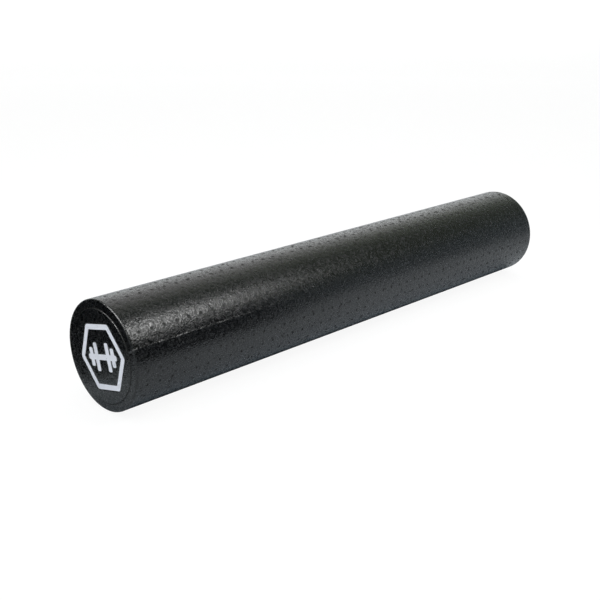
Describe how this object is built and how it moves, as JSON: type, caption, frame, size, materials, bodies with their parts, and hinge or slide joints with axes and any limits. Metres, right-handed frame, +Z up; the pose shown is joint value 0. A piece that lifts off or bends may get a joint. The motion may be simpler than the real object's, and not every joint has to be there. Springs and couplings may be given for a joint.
{
  "type": "foam roller",
  "caption": "Long solid foam roller for massage and exercise, with a shallow raised disc on each end and a plain film mark on one of them.",
  "frame": {"origin": "middle of the roller's length, on the lowest line of the barrel, where it touches the floor", "axes": "+Y along the roller's axis, from the end with the mark to the plain end; +Z up; +X to the side, so that the mark reads upright seen along +Y"},
  "size_m": [0.15, 0.9, 0.15],
  "materials": {
    "black_bead_foam": "black expanded polypropylene, a moulded skin of fused beads with a soft sheen",
    "white_print_film": "white heat-pressed film, satin, with a faint cool tint"
  },
  "bodies": {
    "root": {"foam_body": "black_bead_foam", "print_frame": "white_print_film", "print_sign": "white_print_film"}
  },
  "joints": []
}
